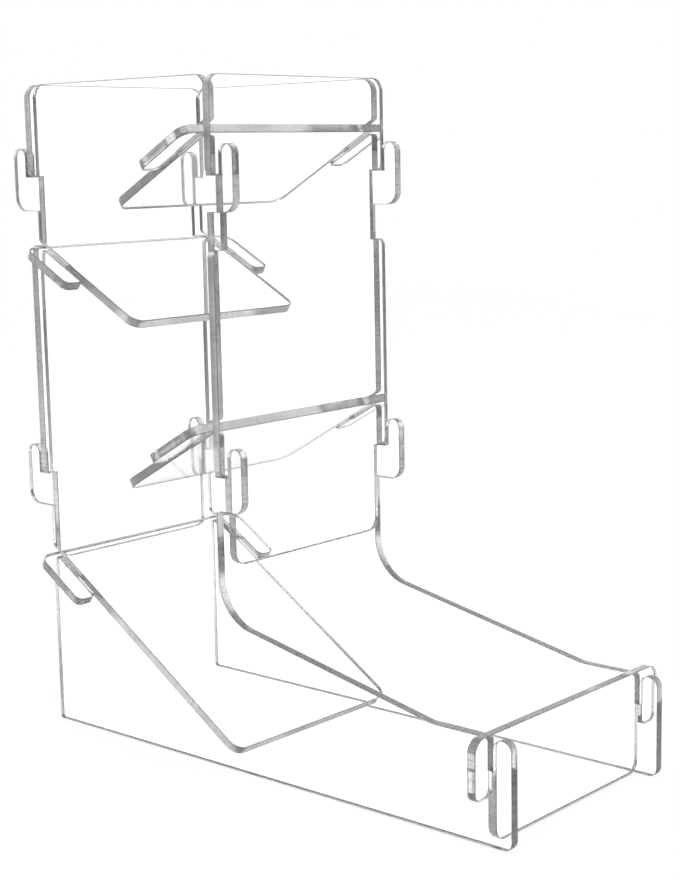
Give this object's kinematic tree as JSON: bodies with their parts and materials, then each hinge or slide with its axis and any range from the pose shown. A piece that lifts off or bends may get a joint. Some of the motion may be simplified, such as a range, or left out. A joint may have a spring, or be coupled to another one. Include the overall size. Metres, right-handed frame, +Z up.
{
  "type": "dice tower",
  "caption": "Clear acrylic dice tower that slots together from flat plates: tall column with slanted baffles, a ramp and a low open tray with a lift-out fence.",
  "frame": {"origin": "middle of the footprint, on the table", "axes": "+Z up; the tray and the front of the tower face -Y; +X runs across, from the left side panel to the right one as seen from the front"},
  "size_m": [0.096, 0.2074, 0.22],
  "materials": {
    "clear_acrylic": "clear polished cast acrylic with laser-cut edges"
  },
  "bodies": {
    "tower": {"left_side_panel": "clear_acrylic", "right_side_panel": "clear_acrylic", "top_baffle": "clear_acrylic", "middle_baffle": "clear_acrylic", "lower_baffle": "clear_acrylic", "ramp": "clear_acrylic"},
    "front_panel": {"front_panel": "clear_acrylic"},
    "back_panel": {"back_panel": "clear_acrylic"},
    "tray_fence": {"tray_fence": "clear_acrylic"}
  },
  "joints": [
    {"name": "front_panel_lift", "type": "slide", "parent": "tower", "child": "front_panel", "axis": [0, 0, 1], "range_m": [0, 0.0105]},
    {"name": "back_panel_lift", "type": "slide", "parent": "tower", "child": "back_panel", "axis": [0, 0, 1], "range_m": [0, 0.0105]},
    {"name": "tray_fence_lift", "type": "slide", "parent": "tower", "child": "tray_fence", "axis": [0, 0, 1], "range_m": [0, 0.03]}
  ]
}
